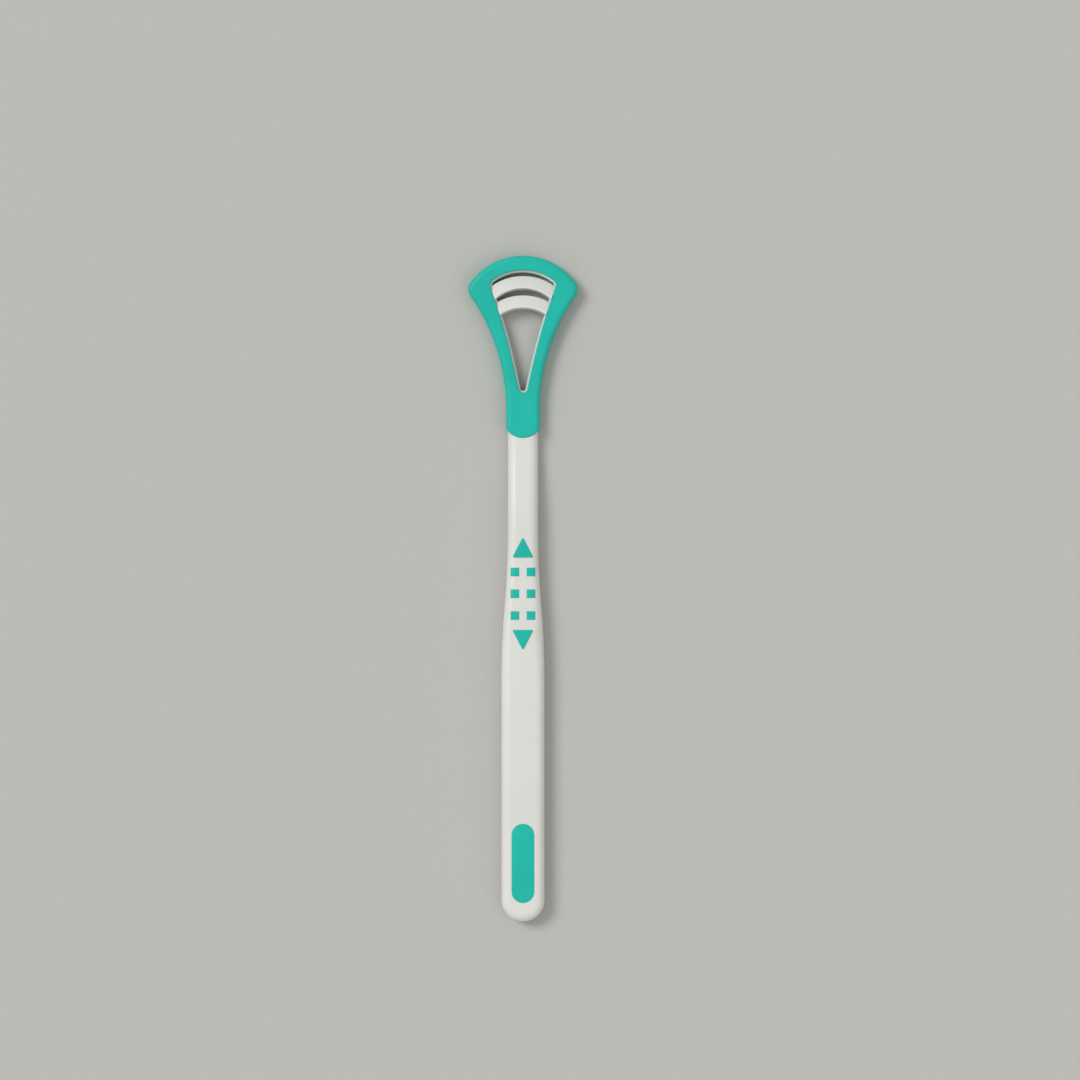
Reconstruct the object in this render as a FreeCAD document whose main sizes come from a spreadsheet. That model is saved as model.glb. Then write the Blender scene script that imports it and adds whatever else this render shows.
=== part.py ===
import FreeCAD, Part
import Sketcher
import math
import os

# Tongue scraper lying on its flat back, in millimetres.
# X runs across the tool, Y runs along it towards the head and Z comes up out of its front.
# The origin is on the surface that it lies on, at the middle of its length and of its width.

SIZES = {
    # Whole tool
    "tool_length": 170.0,
    "cut_overrun": 2.0,

    # Handle: a round-ended grip that narrows to a slim neck, flat at the back
    "grip_width": 11.0,
    "grip_length": 62.0,
    "grip_thickness": 5.8,
    "flare_length": 38.0,
    "neck_width": 7.7,
    "level_front_length": 100.0,
    "front_taper_length": 22.0,
    "neck_front_height": 4.25,
    "front_edge_radius": 2.2,
    "back_edge_radius": 1.3,

    # Head: a fan-shaped loop on a stem, all inside one soft sleeve
    "head_width": 28.0,
    "crown_radius": 16.6,
    "head_corner_radius": 2.8,
    "stem_width": 8.6,
    "sleeve_length": 46.6,
    "stem_length": 7.1,
    "sleeve_foot_sag": 2.4,
    "sleeve_thickness": 4.4,
    "sleeve_edge_radius": 1.3,
    "sleeve_rim_chamfer": 0.25,

    # Window through the loop, as the sleeve borders it
    "crown_band": 3.7,
    "window_top_width": 16.8,
    "window_corner_radius": 1.5,
    "window_side_radius": 180.0,
    "window_drop": 35.0,
    "window_apex_radius": 1.2,

    # Hard core inside the sleeve
    "core_thickness": 2.0,
    "side_cover": 1.3,
    "bare_lip": 0.5,
    "tang_root": 4.0,

    # Arched scraping blades across the window
    "blade_radius": 12.0,
    "blade_drop": 6.95,
    "blade_pitch": 4.95,
    "blade_width": 3.5,
    "blade_lean": 0.35,
    "blade_edge_width": 0.5,
    "blade_rise": 2.5,
    "blade_root": 1.2,

    # Soft inlays in the front of the handle
    "inlay_depth": 0.9,
    "inlay_proud": 0.2,
    "inlay_chamfer": 0.12,
    "thumb_centre": 83.7,
    "arrow_offset": 11.85,
    "arrow_width": 5.5,
    "arrow_length": 5.3,
    "arrow_corner_radius": 0.3,
    "dash_row_pitch": 5.55,
    "dash_spacing": 4.1,
    "dash_width": 2.2,
    "dash_length": 2.2,
    "pad_width": 5.8,
    "pad_length": 20.2,
    "pad_margin": 4.9,
}

# Counts
BLADE_COUNT = 2
DASH_ROWS = 3

# Places that several pieces share
END_Y = "(-Sizes.tool_length / 2)"
CROWN_Y = "(Sizes.tool_length / 2)"
FOOT_Y = f"({CROWN_Y} - Sizes.sleeve_length)"
CROWN_CENTRE_Y = f"({CROWN_Y} - Sizes.crown_radius)"
STEM_TOP_Y = f"({FOOT_Y} + Sizes.stem_length)"
NECK_TOP_Y = f"({FOOT_Y} + Sizes.sleeve_foot_sag + Sizes.cut_overrun)"
THUMB_Y = f"({END_Y} + Sizes.thumb_centre)"
HEAD_MID_Z = "(Sizes.sleeve_thickness / 2)"
CORE_FRONT_Z = f"({HEAD_MID_Z} + Sizes.core_thickness / 2)"
CORE_BACK_Z = f"({HEAD_MID_Z} - Sizes.core_thickness / 2)"
SEAT_FLOOR_Z = "(Sizes.grip_thickness - Sizes.inlay_depth)"

# Numbers by which a sketch knows an element's points, its own two axes and its origin
START, END, CENTRE = range(1, 4)
LEVEL_AXIS, UPRIGHT_AXIS = range(-1, -3, -1)
ORIGIN = (LEVEL_AXIS, START)

# Shares of a unit normal that tell a front or back face from a wall
CAP_SHARE = 0.6
WALL_SHARE = 0.2

# The most of the neck's thickness that the rounding of its front and back edges may take
FRONT_EDGE_SHARE = 0.58
BACK_EDGE_SHARE = 0.36

doc = FreeCAD.newDocument("tongue_scraper")
sheet = doc.addObject("Spreadsheet::Sheet", "Sizes")
for row, (name, value) in enumerate(SIZES.items(), start=1):
    sheet.set(f"A{row}", name)
    sheet.set(f"B{row}", str(value))
    sheet.setAlias(f"B{row}", name)
doc.recompute()


def size(expression):
    """The value of an expression in the sheet's sizes."""
    return float(sheet.evalExpression(expression))


# Bodies, sketches and features

def add_body(label):
    body = doc.addObject("PartDesign::Body", label)
    body.Label = label
    return body


def add_sketch(body, name, role, offset=None):
    """An empty sketch on one of the body's origin planes, moved along the plane's normal."""
    sketch = body.newObject("Sketcher::SketchObject", name)
    plane = next(feature for feature in body.Origin.OriginFeatures if feature.Role == role)
    sketch.AttachmentSupport = [(plane, "")]
    sketch.MapMode = "FlatFace"
    if offset:
        sketch.setExpression("AttachmentOffset.Base.z", offset)
    return sketch


def add_pad(body, name, sketch, length, symmetric=False):
    pad = body.newObject("PartDesign::Pad", name)
    pad.Profile = sketch
    pad.SideType = "Symmetric" if symmetric else "One side"
    pad.setExpression("Length", length)
    doc.recompute()
    return pad


def add_pocket(body, name, sketch, length=None, upwards=False):
    """A cut through everything: both ways, or upwards only, or over a length about the sketch."""
    before = body.Shape.Volume
    pocket = body.newObject("PartDesign::Pocket", name)
    pocket.Profile = sketch
    pocket.Type = "Length" if length else "ThroughAll"
    pocket.SideType = "One side" if upwards else "Symmetric"
    pocket.Reversed = upwards
    if length:
        pocket.setExpression("Length", length)
    doc.recompute()
    if not body.Shape.Volume < before:
        raise RuntimeError(f"{pocket.Label} cuts nothing")
    return pocket


def normal_at(face, point):
    return face.normalAt(*face.Surface.parameter(point))


def rim_edges(shape, up, skip=None):
    """Names of the edges between a wall and the front (up = 1) or the back (up = -1)."""
    names = []
    for index, edge in enumerate(shape.Edges, start=1):
        middle = edge.valueAt((edge.FirstParameter + edge.LastParameter) / 2)
        normals = [normal_at(face, middle) for face in shape.ancestorsOfType(edge, Part.Face)]
        walls = [normal for normal in normals if abs(normal.z) < WALL_SHARE]
        caps = [normal for normal in normals if normal.z * up > CAP_SHARE]
        if walls and caps and not (skip and skip(walls[0])):
            names.append(f"Edge{index}")
    return names


def add_edges(body, name, kind, width, ups, skip=None):
    """A Fillet or Chamfer along the rims of the body's front, back or both."""
    base = body.Tip
    feature = body.newObject(f"PartDesign::{kind}", name)
    feature.Base = (base, [edge for up in ups for edge in rim_edges(base.Shape, up, skip)])
    feature.setExpression("Radius" if kind == "Fillet" else "Size", width)
    doc.recompute()
    return feature


# Drawing in a sketch

def draw_line(sketch, start, end):
    return sketch.addGeometry(Part.LineSegment(FreeCAD.Vector(*start), FreeCAD.Vector(*end)), False)


def draw_arc(sketch, centre, radius, first, last):
    circle = Part.Circle(FreeCAD.Vector(*centre), FreeCAD.Vector(0, 0, 1), radius)
    return sketch.addGeometry(Part.ArcOfCircle(circle, first, last), False)


def draw_side_line(sketch, side, start, end):
    """A line given for the right-hand side, or its mirror image."""
    return draw_line(sketch, (side * start[0], start[1]), (side * end[0], end[1]))


def draw_side_arc(sketch, side, centre, radius, first, last):
    """An arc given for the right-hand side, or its mirror image, with the ends for first and last."""
    if side > 0:
        return draw_arc(sketch, centre, radius, first, last), START, END
    mirrored = draw_arc(sketch, (-centre[0], centre[1]), radius, math.pi - last, math.pi - first)
    return mirrored, END, START


def relate(sketch, kind, *references):
    sketch.addConstraint(Sketcher.Constraint(kind, *references))


def dimension(sketch, kind, references, expression):
    index = sketch.addConstraint(Sketcher.Constraint(kind, *references, size(expression)))
    sketch.setExpression(f"Constraints[{index}]", expression)


def place_across(sketch, geometry, point, expression):
    dimension(sketch, "DistanceX", (*ORIGIN, geometry, point), expression)


def place_along(sketch, geometry, point, expression):
    dimension(sketch, "DistanceY", (*ORIGIN, geometry, point), expression)


def set_radius(sketch, geometry, expression):
    dimension(sketch, "Radius", (geometry,), expression)


def draw_loop(sketch, corners):
    """A closed run of straight lines through corners given as pairs of expressions."""
    points = [(size(across), size(along)) for across, along in corners]
    lines = [draw_line(sketch, start, end) for start, end in zip(points, points[1:] + points[:1])]
    for line, following, (across, along) in zip(lines, lines[1:] + lines[:1], corners):
        relate(sketch, "Coincident", line, END, following, START)
        place_across(sketch, line, START, across)
        place_along(sketch, line, START, along)


# Outlines of the handle

def handle_outline(sketch):
    """Round end, straight grip, flared sides and neck, seen from the front."""
    grip_half = size("Sizes.grip_width / 2")
    neck_half = size("Sizes.neck_width / 2")
    end_centre = f"{END_Y} + Sizes.grip_width / 2"
    flare_start = f"{END_Y} + Sizes.grip_length"
    flare_end = f"{flare_start} + Sizes.flare_length"
    run = size("Sizes.flare_length")
    step = grip_half - neck_half
    turn = 2 * math.atan(step / run)
    radius = run / (2 * math.sin(turn))

    end_arc = draw_arc(sketch, (0, size(end_centre)), grip_half, math.pi, 2 * math.pi)
    top = draw_line(sketch, (neck_half, size(NECK_TOP_Y)), (-neck_half, size(NECK_TOP_Y)))
    relate(sketch, "Horizontal", top)
    place_along(sketch, top, START, NECK_TOP_Y)
    place_along(sketch, end_arc, CENTRE, end_centre)

    for side, end_point, top_point in ((1, END, START), (-1, START, END)):
        grip = draw_side_line(sketch, side, (grip_half, size(end_centre)), (grip_half, size(flare_start)))
        out_centre = (grip_half - radius, size(flare_start))
        out, out_low, out_high = draw_side_arc(sketch, side, out_centre, radius, 0, turn)
        in_centre = (neck_half + radius, size(flare_end))
        into, in_high, in_low = draw_side_arc(sketch, side, in_centre, radius, math.pi, math.pi + turn)
        neck = draw_side_line(sketch, side, (neck_half, size(flare_end)), (neck_half, size(NECK_TOP_Y)))
        relate(sketch, "Vertical", grip)
        relate(sketch, "Vertical", neck)
        relate(sketch, "Tangent", end_arc, end_point, grip, START)
        relate(sketch, "Tangent", grip, END, out, out_low)
        relate(sketch, "Tangent", out, out_high, into, in_low)
        relate(sketch, "Tangent", into, in_high, neck, START)
        relate(sketch, "Coincident", neck, END, top, top_point)
        relate(sketch, "Equal", out, into)
        place_across(sketch, grip, START, f"{side} * Sizes.grip_width / 2")
        place_along(sketch, grip, END, flare_start)
        place_across(sketch, neck, START, f"{side} * Sizes.neck_width / 2")
        place_along(sketch, neck, START, flare_end)


def above_front(sketch):
    """What lies above the front, seen from the side: level over the grip, then down to the neck."""
    start = f"{END_Y} - Sizes.cut_overrun"
    taper_start = f"{END_Y} + Sizes.level_front_length"
    taper_end = f"{taper_start} + Sizes.front_taper_length"
    finish = f"{NECK_TOP_Y} + Sizes.cut_overrun"
    top = "Sizes.grip_thickness + 2 * Sizes.cut_overrun"
    high = size("Sizes.grip_thickness")
    low = size("Sizes.neck_front_height")
    run = size("Sizes.front_taper_length")
    turn = 2 * math.atan((high - low) / run)
    radius = run / (2 * math.sin(turn))
    upright = math.pi / 2

    level = draw_line(sketch, (size(start), high), (size(taper_start), high))
    over = draw_arc(sketch, (size(taper_start), high - radius), radius, upright - turn, upright)
    under = draw_arc(sketch, (size(taper_end), low + radius), radius, -upright - turn, -upright)
    neck = draw_line(sketch, (size(taper_end), low), (size(finish), low))
    rise = draw_line(sketch, (size(finish), low), (size(finish), size(top)))
    back = draw_line(sketch, (size(finish), size(top)), (size(start), size(top)))
    drop = draw_line(sketch, (size(start), size(top)), (size(start), high))
    relate(sketch, "Tangent", level, END, over, END)
    relate(sketch, "Tangent", over, START, under, START)
    relate(sketch, "Tangent", under, END, neck, START)
    relate(sketch, "Coincident", neck, END, rise, START)
    relate(sketch, "Coincident", rise, END, back, START)
    relate(sketch, "Coincident", back, END, drop, START)
    relate(sketch, "Coincident", drop, END, level, START)
    for line in (level, neck, back):
        relate(sketch, "Horizontal", line)
    for line in (rise, drop):
        relate(sketch, "Vertical", line)
    relate(sketch, "Equal", over, under)
    place_across(sketch, level, START, start)
    place_along(sketch, level, START, "Sizes.grip_thickness")
    place_across(sketch, level, END, taper_start)
    place_across(sketch, neck, START, taper_end)
    place_along(sketch, neck, START, "Sizes.neck_front_height")
    place_across(sketch, neck, END, finish)
    place_along(sketch, back, START, top)


# Outlines of the head

def fan_outline(sketch, inset):
    """Crown, corners, hollow arms and stem of the head, all moved inwards by inset.

    Returns the two stem lines, which end at the foot.
    """
    crown_radius = f"Sizes.crown_radius - {inset}"
    corner_radius = f"Sizes.head_corner_radius - {inset}"
    corner_across = "(Sizes.head_width / 2 - Sizes.head_corner_radius)"
    stem_half = f"(Sizes.stem_width / 2 - {inset})"
    crown_y = size(CROWN_CENTRE_Y)
    corner_x = size(corner_across)
    reach = size("Sizes.crown_radius - Sizes.head_corner_radius")
    corner_y = crown_y + math.sqrt(reach * reach - corner_x * corner_x)
    crown_turn = math.atan2(corner_y - crown_y, corner_x)

    # Centre and radius of the right-hand arm, which touches the corner arc and the top of the stem
    stem_y = size(STEM_TOP_Y)
    spread = size("(Sizes.head_width - Sizes.stem_width) / 2")
    offset = corner_x - size("Sizes.stem_width / 2")
    rounding = size("Sizes.head_corner_radius")
    hollow = (offset ** 2 + (corner_y - stem_y) ** 2 - rounding ** 2) / (2 * spread)
    arm_x = size("Sizes.stem_width / 2") + hollow
    arm_turn = math.atan2(stem_y - corner_y, arm_x - corner_x)

    crown = draw_arc(sketch, (0, crown_y), size(crown_radius), crown_turn, math.pi - crown_turn)
    relate(sketch, "PointOnObject", crown, CENTRE, UPRIGHT_AXIS)
    place_along(sketch, crown, CENTRE, CROWN_CENTRE_Y)
    set_radius(sketch, crown, crown_radius)

    stems = []
    for side, crown_point in ((1, START), (-1, END)):
        corner, corner_low, corner_high = draw_side_arc(
            sketch, side, (corner_x, corner_y), size(corner_radius), arm_turn, crown_turn)
        arm, arm_high, arm_low = draw_side_arc(
            sketch, side, (arm_x, stem_y), hollow + size(inset), math.pi + arm_turn, math.pi)
        stem = draw_side_line(sketch, side, (size(stem_half), stem_y), (size(stem_half), size(FOOT_Y)))
        relate(sketch, "Tangent", crown, crown_point, corner, corner_high)
        relate(sketch, "Tangent", corner, corner_low, arm, arm_high)
        relate(sketch, "Tangent", arm, arm_low, stem, START)
        relate(sketch, "Vertical", stem)
        set_radius(sketch, corner, corner_radius)
        place_across(sketch, corner, CENTRE, f"{side} * {corner_across}")
        place_across(sketch, stem, START, f"{side} * {stem_half}")
        place_along(sketch, stem, START, STEM_TOP_Y)
        stems.append(stem)
    return stems


def sleeve_outline(sketch):
    """The fan outline closed by the sleeve's rounded foot."""
    right, left = fan_outline(sketch, "0")
    half = "(Sizes.stem_width / 2)"
    sag = "Sizes.sleeve_foot_sag"
    radius = f"({half}^2 + {sag}^2) / (2 * {sag})"
    spread = math.asin(size(half) / size(radius))
    lowest = -math.pi / 2
    foot_centre = (0, size(f"{FOOT_Y} + {radius}"))
    foot = draw_arc(sketch, foot_centre, size(radius), lowest - spread, lowest + spread)
    relate(sketch, "Coincident", left, END, foot, START)
    relate(sketch, "Coincident", right, END, foot, END)
    relate(sketch, "PointOnObject", foot, CENTRE, UPRIGHT_AXIS)
    place_along(sketch, foot, CENTRE, f"{FOOT_Y} + {radius}")
    set_radius(sketch, foot, radius)


def core_outline(sketch):
    """The fan outline inside the sleeve, closed square where the tang is rooted in the neck."""
    right, left = fan_outline(sketch, "Sizes.side_cover")
    half = size("Sizes.stem_width / 2 - Sizes.side_cover")
    root = f"{FOOT_Y} - Sizes.tang_root"
    foot = draw_line(sketch, (half, size(root)), (-half, size(root)))
    relate(sketch, "Coincident", right, END, foot, START)
    relate(sketch, "Coincident", left, END, foot, END)
    relate(sketch, "Horizontal", foot)
    place_along(sketch, foot, START, root)


def window_outline(sketch, inset):
    """Opening through the loop: arched top, round corners, hollow sides and a round apex."""
    top_radius = f"Sizes.crown_radius - Sizes.crown_band - {inset}"
    corner_radius = f"Sizes.window_corner_radius - {inset}"
    corner_across = "(Sizes.window_top_width / 2 - Sizes.window_corner_radius)"
    side_radius = f"Sizes.window_side_radius + {inset}"
    apex_radius = f"Sizes.window_apex_radius - {inset}"
    apex_centre = f"{CROWN_Y} - Sizes.window_drop + Sizes.window_apex_radius"
    crown_y = size(CROWN_CENTRE_Y)
    apex_y = size(apex_centre)
    corner_x = size(corner_across)
    reach = size(f"{top_radius} - ({corner_radius})")
    corner_y = crown_y + math.sqrt(reach * reach - corner_x * corner_x)
    crown_turn = math.atan2(corner_y - crown_y, corner_x)

    # Centre of the right-hand side arc, which touches the corner arc and the apex arc from outside
    to_corner = size(f"{side_radius} + {corner_radius}")
    to_apex = size(f"{side_radius} + {apex_radius}")
    gap = math.hypot(corner_x, corner_y - apex_y)
    along = (to_apex ** 2 - to_corner ** 2 + gap * gap) / (2 * gap)
    across = math.sqrt(to_apex ** 2 - along * along)
    rise = (corner_y - apex_y) / gap
    lean = corner_x / gap
    side_centre = (along * lean + across * rise, apex_y + along * rise - across * lean)
    corner_turn = math.atan2(side_centre[1] - corner_y, side_centre[0] - corner_x)
    apex_turn = math.atan2(side_centre[1] - apex_y, side_centre[0])

    top = draw_arc(sketch, (0, crown_y), size(top_radius), crown_turn, math.pi - crown_turn)
    relate(sketch, "PointOnObject", top, CENTRE, UPRIGHT_AXIS)
    place_along(sketch, top, CENTRE, CROWN_CENTRE_Y)
    set_radius(sketch, top, top_radius)
    apex = draw_arc(sketch, (0, apex_y), size(apex_radius), math.pi - apex_turn, 2 * math.pi + apex_turn)
    relate(sketch, "PointOnObject", apex, CENTRE, UPRIGHT_AXIS)
    place_along(sketch, apex, CENTRE, apex_centre)
    set_radius(sketch, apex, apex_radius)

    for side, top_point, apex_point in ((1, START, END), (-1, END, START)):
        corner, corner_low, corner_high = draw_side_arc(
            sketch, side, (corner_x, corner_y), size(corner_radius), corner_turn, crown_turn)
        wall, wall_high, wall_low = draw_side_arc(
            sketch, side, side_centre, size(side_radius), math.pi + corner_turn, math.pi + apex_turn)
        relate(sketch, "Tangent", top, top_point, corner, corner_high)
        relate(sketch, "Tangent", corner, corner_low, wall, wall_high)
        relate(sketch, "Tangent", wall, wall_low, apex, apex_point)
        set_radius(sketch, corner, corner_radius)
        place_across(sketch, corner, CENTRE, f"{side} * {corner_across}")
        set_radius(sketch, wall, side_radius)


def blade_section(sketch, centre_y):
    """A blade cut across: a ramp that rises towards the handle to a scraping edge, with its arch's axis."""
    low_y = f"{centre_y} - Sizes.blade_width / 2"
    high_y = f"{centre_y} + Sizes.blade_width / 2"
    edge_y = f"{low_y} + Sizes.blade_lean"
    edge_z = f"{HEAD_MID_Z} + Sizes.blade_rise"
    axis_y = f"{centre_y} - Sizes.blade_radius"
    corners = (
        (low_y, CORE_BACK_Z),
        (high_y, CORE_BACK_Z),
        (high_y, CORE_FRONT_Z),
        (f"{edge_y} + Sizes.blade_edge_width", edge_z),
        (edge_y, edge_z),
    )
    draw_loop(sketch, corners)

    axis = draw_line(sketch, (size(axis_y), size(CORE_BACK_Z)), (size(axis_y), size(edge_z)))
    sketch.toggleConstruction(axis)
    relate(sketch, "Vertical", axis)
    place_across(sketch, axis, START, axis_y)
    place_along(sketch, axis, START, CORE_BACK_Z)
    place_along(sketch, axis, END, edge_z)


# Outlines of the inlays

def arrow_outline(sketch, centre_y, pointing):
    """A round-cornered triangle whose tip points towards the head (1) or the end of the grip (-1)."""
    radius = size("Sizes.arrow_corner_radius")
    half = size("Sizes.arrow_width / 2")
    length = size("Sizes.arrow_length")
    slope = math.atan2(length, half)
    base_across = half - radius / math.tan(slope / 2)
    base_y = size(centre_y) - pointing * (length / 2 - radius)
    tip_y = size(centre_y) + pointing * (length / 2 - radius / math.cos(slope))
    facing = math.pi / 2 - slope
    down = -math.pi / 2

    def turned(angle):
        return pointing * angle

    def corner(centre, first, last):
        """An arc whose angles are for an arrow that points at the head, with its ends in that order."""
        if pointing > 0:
            return draw_arc(sketch, centre, radius, first, last), START, END
        return draw_arc(sketch, centre, radius, turned(last), turned(first)), END, START

    right, right_low, right_high = corner((base_across, base_y), down, facing)
    tip, tip_right, tip_left = corner((0, tip_y), facing, math.pi - facing)
    left, left_high, left_low = corner((-base_across, base_y), math.pi - facing, math.pi - down)

    offset_x = radius * math.cos(facing)
    offset_y = turned(radius * math.sin(facing))
    low_y = base_y - turned(radius)
    base = draw_line(sketch, (-base_across, low_y), (base_across, low_y))
    right_edge = draw_line(sketch, (base_across + offset_x, base_y + offset_y), (offset_x, tip_y + offset_y))
    left_edge = draw_line(sketch, (-offset_x, tip_y + offset_y), (-base_across - offset_x, base_y + offset_y))
    relate(sketch, "Tangent", base, END, right, right_low)
    relate(sketch, "Tangent", right, right_high, right_edge, START)
    relate(sketch, "Tangent", right_edge, END, tip, tip_right)
    relate(sketch, "Tangent", tip, tip_left, left_edge, START)
    relate(sketch, "Tangent", left_edge, END, left, left_high)
    relate(sketch, "Tangent", left, left_low, base, START)
    relate(sketch, "Horizontal", base)
    relate(sketch, "Equal", right, left)
    relate(sketch, "Equal", right, tip)
    set_radius(sketch, right, "Sizes.arrow_corner_radius")
    relate(sketch, "PointOnObject", tip, CENTRE, UPRIGHT_AXIS)
    steep = "sqrt((Sizes.arrow_width / 2)^2 + Sizes.arrow_length^2)"
    base_inset = f"Sizes.arrow_corner_radius * ({steep} + Sizes.arrow_width / 2) / Sizes.arrow_length"
    tip_inset = f"Sizes.arrow_corner_radius * {steep} / (Sizes.arrow_width / 2)"
    place_across(sketch, right, CENTRE, f"Sizes.arrow_width / 2 - {base_inset}")
    place_across(sketch, left, CENTRE, f"{base_inset} - Sizes.arrow_width / 2")
    place_along(sketch, base, START, f"{centre_y} - {pointing} * Sizes.arrow_length / 2")
    place_along(sketch, tip, CENTRE, f"{centre_y} + {pointing} * (Sizes.arrow_length / 2 - {tip_inset})")


def dash_outline(sketch, centre_x, centre_y):
    """A short bar."""
    left = f"{centre_x} - Sizes.dash_width / 2"
    right = f"{centre_x} + Sizes.dash_width / 2"
    low = f"{centre_y} - Sizes.dash_length / 2"
    high = f"{centre_y} + Sizes.dash_length / 2"
    draw_loop(sketch, ((left, low), (right, low), (right, high), (left, high)))


def pad_outline(sketch):
    """A long pad with round ends."""
    half = "Sizes.pad_width / 2"
    low = f"{END_Y} + Sizes.pad_margin + {half}"
    high = f"{END_Y} + Sizes.pad_margin + Sizes.pad_length - {half}"
    wide = size(half)
    upper = draw_arc(sketch, (0, size(high)), wide, 0, math.pi)
    lower = draw_arc(sketch, (0, size(low)), wide, math.pi, 2 * math.pi)
    left = draw_line(sketch, (-wide, size(high)), (-wide, size(low)))
    right = draw_line(sketch, (wide, size(low)), (wide, size(high)))
    relate(sketch, "Tangent", upper, END, left, START)
    relate(sketch, "Tangent", left, END, lower, START)
    relate(sketch, "Tangent", lower, END, right, START)
    relate(sketch, "Tangent", right, END, upper, START)
    relate(sketch, "Vertical", left)
    relate(sketch, "Vertical", right)
    place_across(sketch, left, START, f"-{half}")
    place_across(sketch, right, START, half)
    place_along(sketch, upper, CENTRE, high)
    place_along(sketch, lower, CENTRE, low)


def inlay_outlines():
    """Each inlay's name and the function that draws its outline."""
    outlines = {
        "up_arrow_inlay": lambda sketch: arrow_outline(sketch, f"{THUMB_Y} + Sizes.arrow_offset", 1),
        "down_arrow_inlay": lambda sketch: arrow_outline(sketch, f"{THUMB_Y} - Sizes.arrow_offset", -1),
        "end_pad_inlay": pad_outline,
    }
    for row in range(DASH_ROWS):
        steps_up = (DASH_ROWS - 1) / 2 - row
        row_y = f"{THUMB_Y} + {steps_up} * Sizes.dash_row_pitch"
        for side, word in ((-1, "left"), (1, "right")):
            row_x = f"{side} * Sizes.dash_spacing / 2"
            outlines[f"thumb_dash_{row + 1}_{word}"] = (
                lambda sketch, across=row_x, along=row_y: dash_outline(sketch, across, along))
    return outlines


# Sub-parts

def make_handle_core():
    """Hard first shot: grip, neck, tang, loop core and blades in one moulding, with the inlays' seats."""
    body = add_body("handle_core")

    outline = add_sketch(body, "handle_outline", "XY_Plane")
    handle_outline(outline)
    add_pad(body, "handle_stock", outline, "Sizes.grip_thickness + Sizes.cut_overrun")

    front = add_sketch(body, "front_profile", "YZ_Plane")
    above_front(front)
    add_pocket(body, "front", front)

    def at_neck_end(normal):
        return normal.y > CAP_SHARE

    front_radius = f"min(Sizes.front_edge_radius; {FRONT_EDGE_SHARE} * Sizes.neck_front_height)"
    back_radius = f"min(Sizes.back_edge_radius; {BACK_EDGE_SHARE} * Sizes.neck_front_height)"
    add_edges(body, "front_edges", "Fillet", front_radius, (1,), at_neck_end)
    add_edges(body, "back_edges", "Fillet", back_radius, (-1,), at_neck_end)

    seat = add_sketch(body, "sleeve_seat_outline", "XY_Plane")
    sleeve_outline(seat)
    add_pocket(body, "sleeve_seat", seat)

    loop = add_sketch(body, "loop_outline", "XY_Plane", HEAD_MID_Z)
    core_outline(loop)
    window_outline(loop, "Sizes.bare_lip")
    add_pad(body, "tang_and_loop", loop, "Sizes.core_thickness", symmetric=True)

    for number in range(BLADE_COUNT):
        drop = f"(Sizes.blade_drop + {number} * Sizes.blade_pitch)"
        narrowing = f"(Sizes.window_drop - {drop}) / (Sizes.window_drop - Sizes.crown_band)"
        reach = f"(Sizes.window_top_width / 2 * {narrowing} + Sizes.blade_root)"
        section = add_sketch(body, f"blade_{number + 1}_section", "YZ_Plane")
        blade_section(section, f"({CROWN_Y} - {drop})")
        blade = body.newObject("PartDesign::Revolution", f"blade_{number + 1}")
        blade.Profile = section
        blade.ReferenceAxis = (section, ["Axis0"])
        blade.Midplane = True
        blade.setExpression("Angle", f"2 * asin({reach} / Sizes.blade_radius)")
        doc.recompute()

    ends = add_sketch(body, "sleeve_over_blade_ends", "XY_Plane", CORE_FRONT_Z)
    sleeve_outline(ends)
    window_outline(ends, "0")
    add_pocket(body, "blade_ends", ends, upwards=True)

    for label, draw in inlay_outlines().items():
        place = add_sketch(body, f"{label}_seat_outline", "XY_Plane", SEAT_FLOOR_Z)
        draw(place)
        add_pocket(body, f"{label}_seat", place, upwards=True)
    return body


def make_head_overmould():
    """Soft sleeve round the front, outer side and back of the loop and round the stem."""
    body = add_body("head_overmould")

    outline = add_sketch(body, "sleeve_outline", "XY_Plane", HEAD_MID_Z)
    sleeve_outline(outline)
    add_pad(body, "sleeve_stock", outline, "Sizes.sleeve_thickness", symmetric=True)

    def at_foot(normal):
        return normal.y < -CAP_SHARE

    add_edges(body, "outer_edges", "Fillet", "Sizes.sleeve_edge_radius", (1, -1), at_foot)

    window = add_sketch(body, "window_outline", "XY_Plane")
    window_outline(window, "0")
    add_pocket(body, "window", window)
    add_edges(body, "window_and_foot_edges", "Chamfer", "Sizes.sleeve_rim_chamfer", (1, -1))

    channel = add_sketch(body, "core_channel_outline", "XY_Plane", HEAD_MID_Z)
    core_outline(channel)
    add_pocket(body, "core_channel", channel, "Sizes.core_thickness")
    return body


def make_inlay(label, draw):
    """Soft inlay that fills its seat and stands a little proud of the front."""
    body = add_body(label)
    outline = add_sketch(body, f"{label}_outline", "XY_Plane", SEAT_FLOOR_Z)
    draw(outline)
    add_pad(body, f"{label}_stock", outline, "Sizes.inlay_depth + Sizes.inlay_proud")
    add_edges(body, f"{label}_edges", "Chamfer", "Sizes.inlay_chamfer", (1,))
    return body


sub_parts = [make_handle_core(), make_head_overmould()]
for inlay_label, draw_inlay in inlay_outlines().items():
    sub_parts.append(make_inlay(inlay_label, draw_inlay))
doc.recompute()

for item in doc.Objects:
    if "Invalid" in item.State or "Error" in item.State:
        raise RuntimeError(f"{item.Label} failed: {item.State}")
for part in sub_parts:
    if part.Shape.isNull() or not part.Shape.isValid():
        raise RuntimeError(f"{part.Label} is not a valid solid")

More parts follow.
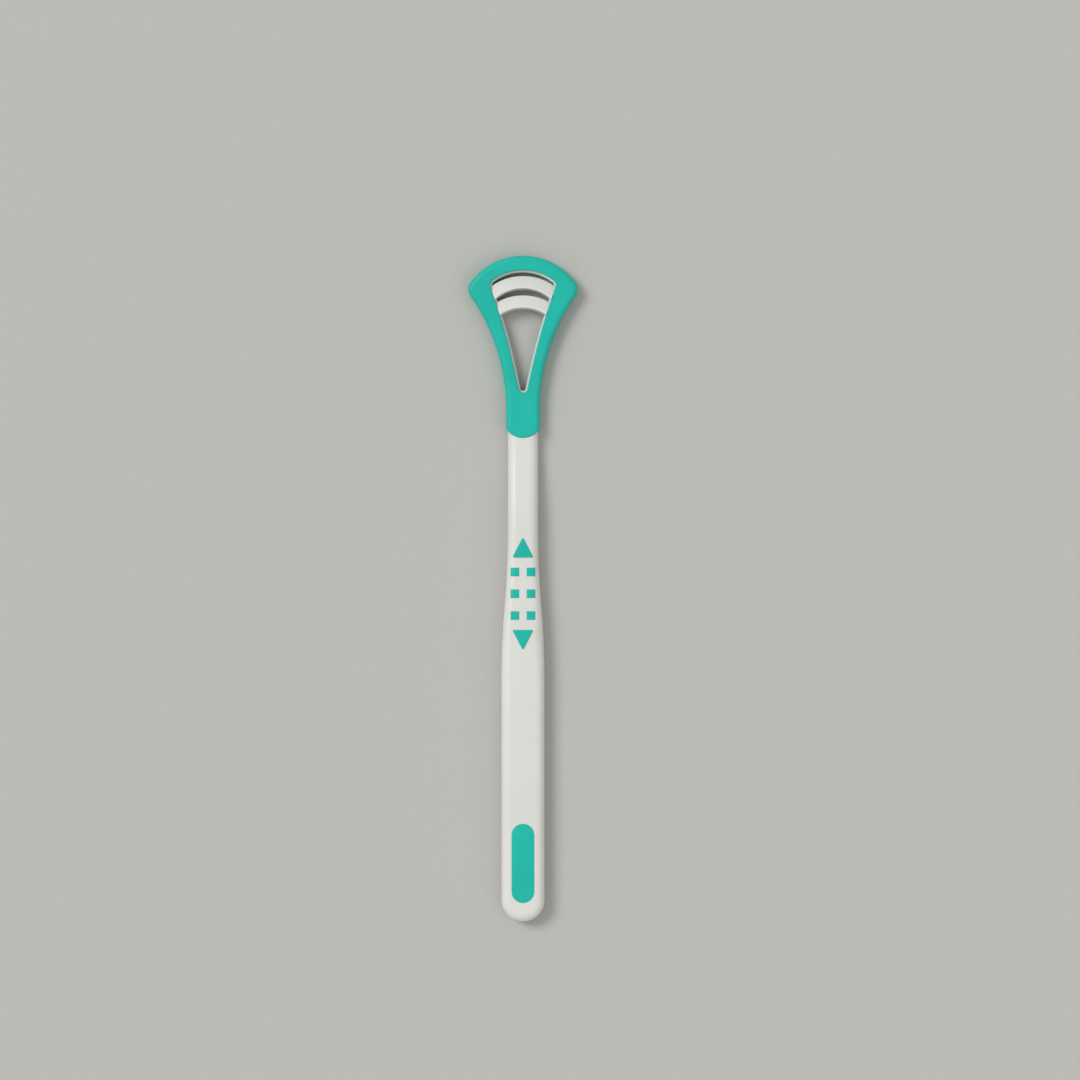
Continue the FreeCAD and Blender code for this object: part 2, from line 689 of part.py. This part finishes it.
os.makedirs("parts", exist_ok=True)
for part in sub_parts:
    part.Shape.exportStep(f"parts/{part.Label}.step")
    box = part.Shape.BoundBox
    print(part.Label, f"{len(part.Shape.Solids)} solid, {part.Shape.Volume:.1f} mm3,",
          f"x {box.XMin:.2f} {box.XMax:.2f}, y {box.YMin:.2f} {box.YMax:.2f}, z {box.ZMin:.2f} {box.ZMax:.2f}")
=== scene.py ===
import math

import bmesh
import bpy
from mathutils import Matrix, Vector


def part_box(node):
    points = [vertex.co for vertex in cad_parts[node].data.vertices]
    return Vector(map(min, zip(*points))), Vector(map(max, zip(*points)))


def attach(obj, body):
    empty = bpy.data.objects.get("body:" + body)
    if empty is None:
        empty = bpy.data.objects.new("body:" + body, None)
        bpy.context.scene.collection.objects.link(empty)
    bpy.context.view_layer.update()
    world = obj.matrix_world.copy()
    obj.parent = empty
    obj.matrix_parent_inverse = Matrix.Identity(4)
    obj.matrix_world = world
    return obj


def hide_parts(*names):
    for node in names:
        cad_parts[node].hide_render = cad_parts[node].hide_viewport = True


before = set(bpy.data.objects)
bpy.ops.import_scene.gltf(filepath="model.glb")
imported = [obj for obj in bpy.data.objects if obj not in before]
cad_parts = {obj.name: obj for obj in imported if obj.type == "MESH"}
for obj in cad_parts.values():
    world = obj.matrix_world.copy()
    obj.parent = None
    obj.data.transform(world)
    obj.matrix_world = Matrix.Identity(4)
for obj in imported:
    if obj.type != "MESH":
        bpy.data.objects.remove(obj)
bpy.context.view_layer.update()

# Tongue scraper lying on its back, seen from straight above with its head at the top of the picture.
# Lengths are in metres: MM turns millimetres into metres.
MM = 0.001

# Camera: the picture is square, and the tool fills about three fifths of its height
VIEW_WIDTH = 276.5 * MM
VIEW_CENTRE = (4.35 * MM, 12.4 * MM)
CAMERA_HEIGHT = 1.2

# Floor and light: where each lamp shines from, how wide it looks and how strong it is
FLOOR_SIZE = 6.0
FLOOR_COLOUR = (0.50, 0.49, 0.47, 1)
FLOOR_ROUGHNESS = 0.9
WORLD_COLOUR = (1.0, 0.99, 0.965, 1)
WORLD_STRENGTH = 0.53
KEY_FROM = (-0.55, 0.35, 0.75)
KEY_SPREAD = math.radians(26)
KEY_STRENGTH = 1.6
FILL_FROM = (0.6, -0.4, 0.7)
FILL_SPREAD = math.radians(45)
FILL_STRENGTH = 0.38

# Colours, linear
WHITE_PLASTIC = (0.735, 0.735, 0.705, 1)
WHITE_PLASTIC_DEEP = (0.695, 0.695, 0.665, 1)
TEAL_RUBBER = (0.0035, 0.495, 0.408, 1)
TEAL_RUBBER_DEEP = (0.0030, 0.450, 0.368, 1)

# Gloss: the range that the roughness wanders over, and how much the surface mirrors
PLASTIC_ROUGHNESS = (0.34, 0.40)
PLASTIC_IOR = 1.49
RUBBER_ROUGHNESS = (0.46, 0.56)
RUBBER_IOR = 1.46
RUBBER_SPECULAR = 0.35
RUBBER_SHEEN = 0.08
RUBBER_SHEEN_ROUGHNESS = 0.5

# Mottling and mould grain: waves per metre, height of the grain and strength of its bumps
PLASTIC_MOTTLE = 60
PLASTIC_GRAIN = 2600
PLASTIC_GRAIN_HEIGHT = 0.02 * MM
RUBBER_MOTTLE = 90
RUBBER_GRAIN = 3600
RUBBER_GRAIN_HEIGHT = 0.03 * MM
GRAIN_STRENGTH = 0.35

# Noise: smears of gloss are finer than blotches of colour, and most values lie in the middle range
SMEARS_PER_BLOTCH = 3
NOISE_DETAIL = 3
NOISE_MIDDLE = (0.3, 0.7)

# Front of the handle, which the inlays follow: half widths, flare and rounding of its sides, as in the CAD
GRIP_HALF = 5.5 * MM
NECK_HALF = 3.85 * MM
FLARE_END = 15.0 * MM
FLARE_LENGTH = 38.0 * MM
FRONT_ROUNDING = 2.2 * MM

# Soft inlays: sizes of the arrows, as in the CAD, and names and slightly round corners of the dashes
ARROW_WIDTH = 5.5 * MM
ARROW_LENGTH = 5.3 * MM
ARROW_CORNER = 0.3 * MM
DASH_CORNER = 0.2 * MM
DASH_ROWS = (1, 2, 3)
DASH_SIDES = ("left", "right")

# Soft inlays: a rounded rim and a slight crown, in rings that stop just short of the middle
RIM_ROUNDING = 0.14 * MM
CROWN_HEIGHT = 0.06 * MM
MIDDLE_SHARE = 0.96
ARC_STEPS = 10
SIDE_STEPS = 10
RIM_STEPS = 5
CROWN_STEPS = 6
SAME_PLACE = 0.0001 * MM


# Materials

def new_material(name):
    """A new material and its Principled shader."""
    material = bpy.data.materials.new(name)
    material.use_nodes = True
    shader = next(node for node in material.node_tree.nodes if node.type == "BSDF_PRINCIPLED")
    return material, shader


def noise(tree, scale):
    """Noise that is fixed to the object, with its scale in waves per metre."""
    place = tree.nodes.new("ShaderNodeTexCoord")
    texture = tree.nodes.new("ShaderNodeTexNoise")
    texture.inputs["Scale"].default_value = scale
    texture.inputs["Detail"].default_value = NOISE_DETAIL
    tree.links.new(place.outputs["Object"], texture.inputs["Vector"])
    return texture.outputs["Fac"]


def stretched(tree, factor, low, high):
    """Noise whose middle range is stretched to run from low to high."""
    ramp = tree.nodes.new("ShaderNodeMapRange")
    ramp.inputs["From Min"].default_value = NOISE_MIDDLE[0]
    ramp.inputs["From Max"].default_value = NOISE_MIDDLE[1]
    ramp.inputs["To Min"].default_value = low
    ramp.inputs["To Max"].default_value = high
    tree.links.new(factor, ramp.inputs["Value"])
    return ramp.outputs["Result"]


def moulded(name, colours, roughness, mottle, grain, grain_height):
    """Moulded plastic or rubber: faint mottling of colour and gloss, and the fine grain of its mould."""
    material, shader = new_material(name)
    tree = material.node_tree

    blotches = noise(tree, mottle)
    colour = tree.nodes.new("ShaderNodeMix")
    colour.data_type = "RGBA"
    colour.inputs["A"].default_value = colours[0]
    colour.inputs["B"].default_value = colours[1]
    tree.links.new(stretched(tree, blotches, 0, 1), colour.inputs["Factor"])
    tree.links.new(colour.outputs["Result"], shader.inputs["Base Color"])

    smears = noise(tree, mottle * SMEARS_PER_BLOTCH)
    tree.links.new(stretched(tree, smears, *roughness), shader.inputs["Roughness"])

    bump = tree.nodes.new("ShaderNodeBump")
    bump.inputs["Strength"].default_value = GRAIN_STRENGTH
    bump.inputs["Distance"].default_value = grain_height
    tree.links.new(noise(tree, grain), bump.inputs["Height"])
    tree.links.new(bump.outputs["Normal"], shader.inputs["Normal"])
    return material, shader


def make_materials():
    """White plastic and teal rubber."""
    white, white_shader = moulded(
        "white_plastic", (WHITE_PLASTIC, WHITE_PLASTIC_DEEP), PLASTIC_ROUGHNESS,
        PLASTIC_MOTTLE, PLASTIC_GRAIN, PLASTIC_GRAIN_HEIGHT)
    white_shader.inputs["IOR"].default_value = PLASTIC_IOR
    teal, teal_shader = moulded(
        "teal_rubber", (TEAL_RUBBER, TEAL_RUBBER_DEEP), RUBBER_ROUGHNESS,
        RUBBER_MOTTLE, RUBBER_GRAIN, RUBBER_GRAIN_HEIGHT)
    teal_shader.inputs["IOR"].default_value = RUBBER_IOR
    teal_shader.inputs["Specular IOR Level"].default_value = RUBBER_SPECULAR
    teal_shader.inputs["Sheen Weight"].default_value = RUBBER_SHEEN
    teal_shader.inputs["Sheen Roughness"].default_value = RUBBER_SHEEN_ROUGHNESS
    return white, teal


# Soft inlays

def flare_share(y):
    """How far the handle has widened at y, from neck (0) to grip (1), by two equal curves."""
    along = min(max((FLARE_END - y) / FLARE_LENGTH, 0), 1)
    if along < 0.5:
        return 2 * along ** 2
    return 1 - 2 * (1 - along) ** 2


def front_fall(point):
    """How far the handle's front, which is round at its sides, has dropped at a point."""
    half_width = NECK_HALF + (GRIP_HALF - NECK_HALF) * flare_share(point.y)
    into_rounding = max(FRONT_ROUNDING - half_width + abs(point.x), 0)
    return FRONT_ROUNDING - math.sqrt(FRONT_ROUNDING ** 2 - into_rounding ** 2)


def rounded_loop(corners, radius, inset):
    """A polygon's outline moved inwards by inset, with rounded corners. Corners run anticlockwise."""
    arcs = []
    rounding = max(radius - inset, 0)
    for index, corner in enumerate(corners):
        to_before = (corners[index - 1] - corner).normalized()
        to_after = (corners[(index + 1) % len(corners)] - corner).normalized()
        half_angle = to_before.angle(to_after) / 2
        inwards = (to_before + to_after).normalized()
        centre = corner + inwards * ((inset + rounding) / math.sin(half_angle))
        sweep = math.pi - 2 * half_angle
        start = math.atan2(-inwards.y, -inwards.x) - sweep / 2
        arc = []
        for step in range(ARC_STEPS + 1):
            angle = start + sweep * step / ARC_STEPS
            arc.append(centre + rounding * Vector((math.cos(angle), math.sin(angle))))
        arcs.append(arc)

    points = []
    for arc, following in zip(arcs, arcs[1:] + arcs[:1]):
        points += arc
        for step in range(1, SIDE_STEPS):
            points.append(arc[-1].lerp(following[0], step / SIDE_STEPS))
    return points


def inlay_profile(high, reach):
    """Pairs of inset and height from the top of an inlay's wall over its rim and to its middle."""
    rim = high - CROWN_HEIGHT
    pairs = []
    for step in range(RIM_STEPS + 1):
        angle = math.pi / 2 * step / RIM_STEPS
        inset = RIM_ROUNDING * (1 - math.cos(angle))
        drop = RIM_ROUNDING * (1 - math.sin(angle))
        pairs.append((inset, rim - drop))
    for step in range(1, CROWN_STEPS + 1):
        share = step / CROWN_STEPS
        inset = RIM_ROUNDING + (reach - RIM_ROUNDING) * share
        rise = CROWN_HEIGHT * share * (2 - share)
        pairs.append((inset, rim + rise))
    return pairs


def merge_points(mesh):
    """Makes one of points in the same place, where rounded corners have shrunk to nothing."""
    work = bmesh.new()
    work.from_mesh(mesh)
    bmesh.ops.remove_doubles(work, verts=work.verts, dist=SAME_PLACE)
    work.to_mesh(mesh)
    work.free()


def ring_mesh(name, rings):
    """A closed, smooth mesh over rings of points, the lowest first."""
    count = len(rings[0])
    vertices = [vertex for ring in rings for vertex in ring]
    faces = [tuple(reversed(range(count)))]
    for level in range(len(rings) - 1):
        here = level * count
        above = here + count
        for index in range(count):
            following = (index + 1) % count
            faces.append((here + index, here + following, above + following, above + index))
    faces.append(tuple(range(len(vertices) - count, len(vertices))))

    mesh = bpy.data.meshes.new(name)
    mesh.from_pydata(vertices, [], faces)
    merge_points(mesh)
    mesh.shade_smooth()
    return mesh


def add_inlay(node, corners, radius, reach, material):
    """A soft inlay in place of a CAD node: reach is how far its middle lies from its edge."""
    low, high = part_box(node)
    rings = [[(point.x, point.y, low.z) for point in rounded_loop(corners, radius, 0)]]
    for inset, height in inlay_profile(high.z, reach * MIDDLE_SHARE):
        points = rounded_loop(corners, radius, inset)
        rings.append([(point.x, point.y, height - front_fall(point)) for point in points])

    name = f"{node}_soft"
    mesh = ring_mesh(name, rings)
    mesh.materials.append(material)
    piece = bpy.data.objects.new(name, mesh)
    bpy.context.scene.collection.objects.link(piece)
    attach(piece, "root")
    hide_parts(node)


def add_bar(node, material, corner=None):
    """A straight inlay with rounded corners, or with round ends where no corner is given."""
    low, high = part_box(node)
    corners = [
        Vector((low.x, low.y)),
        Vector((high.x, low.y)),
        Vector((high.x, high.y)),
        Vector((low.x, high.y)),
    ]
    reach = min(high.x - low.x, high.y - low.y) / 2
    radius = reach if corner is None else corner
    add_inlay(node, corners, radius, reach, material)


def add_arrow(node, material, pointing):
    """An arrow that points towards the head (1) or the end of the grip (-1)."""
    low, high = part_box(node)
    base = low.y if pointing > 0 else high.y
    half = pointing * ARROW_WIDTH / 2
    corners = [Vector((-half, base)), Vector((half, base)), Vector((0, base + pointing * ARROW_LENGTH))]
    # The middle of a triangle lies twice its area over its perimeter from each side
    perimeter = ARROW_WIDTH + 2 * math.hypot(half, ARROW_LENGTH)
    reach = ARROW_WIDTH * ARROW_LENGTH / perimeter
    add_inlay(node, corners, ARROW_CORNER, reach, material)


def make_inlays(material):
    """The thumb marks and the pad at the end of the grip."""
    for row in DASH_ROWS:
        for side in DASH_SIDES:
            add_bar(f"thumb_dash_{row}_{side}", material, DASH_CORNER)
    add_arrow("up_arrow_inlay", material, 1)
    add_arrow("down_arrow_inlay", material, -1)
    add_bar("end_pad_inlay", material)


# Studio

def add_floor():
    """A plain pale floor."""
    bpy.ops.mesh.primitive_plane_add(size=FLOOR_SIZE)
    floor = bpy.context.object
    floor.name = "floor"
    material, shader = new_material("pale_floor")
    shader.inputs["Base Color"].default_value = FLOOR_COLOUR
    shader.inputs["Roughness"].default_value = FLOOR_ROUGHNESS
    floor.data.materials.append(material)


def add_lamp(name, place, spread, strength):
    """A far, wide lamp that faces the tool, lights the whole floor evenly and casts soft shadows."""
    data = bpy.data.lights.new(name, "SUN")
    data.angle = spread
    data.energy = strength
    lamp = bpy.data.objects.new(name, data)
    lamp.location = place
    lamp.rotation_euler = (-Vector(place)).to_track_quat("-Z", "Y").to_euler()
    bpy.context.scene.collection.objects.link(lamp)


def add_world():
    """Even, slightly warm light from all round."""
    world = bpy.data.worlds.new("studio")
    world.use_nodes = True
    background = world.node_tree.nodes["Background"]
    background.inputs["Color"].default_value = WORLD_COLOUR
    background.inputs["Strength"].default_value = WORLD_STRENGTH
    bpy.context.scene.world = world


def add_camera():
    """A camera straight above the tool."""
    data = bpy.data.cameras.new("camera")
    data.lens = data.sensor_width * CAMERA_HEIGHT / VIEW_WIDTH
    camera = bpy.data.objects.new("camera", data)
    camera.location = (*VIEW_CENTRE, CAMERA_HEIGHT)
    bpy.context.scene.collection.objects.link(camera)
    bpy.context.scene.camera = camera


# The tool: its core is white, and all its other pieces are teal
white, teal = make_materials()
for name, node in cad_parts.items():
    for place in node.material_slots:
        place.material = white if name == "handle_core" else teal
make_inlays(teal)

add_floor()
add_world()
add_lamp("key", KEY_FROM, KEY_SPREAD, KEY_STRENGTH)
add_lamp("fill", FILL_FROM, FILL_SPREAD, FILL_STRENGTH)
add_camera()
bpy.context.scene.view_settings.view_transform = "Standard"
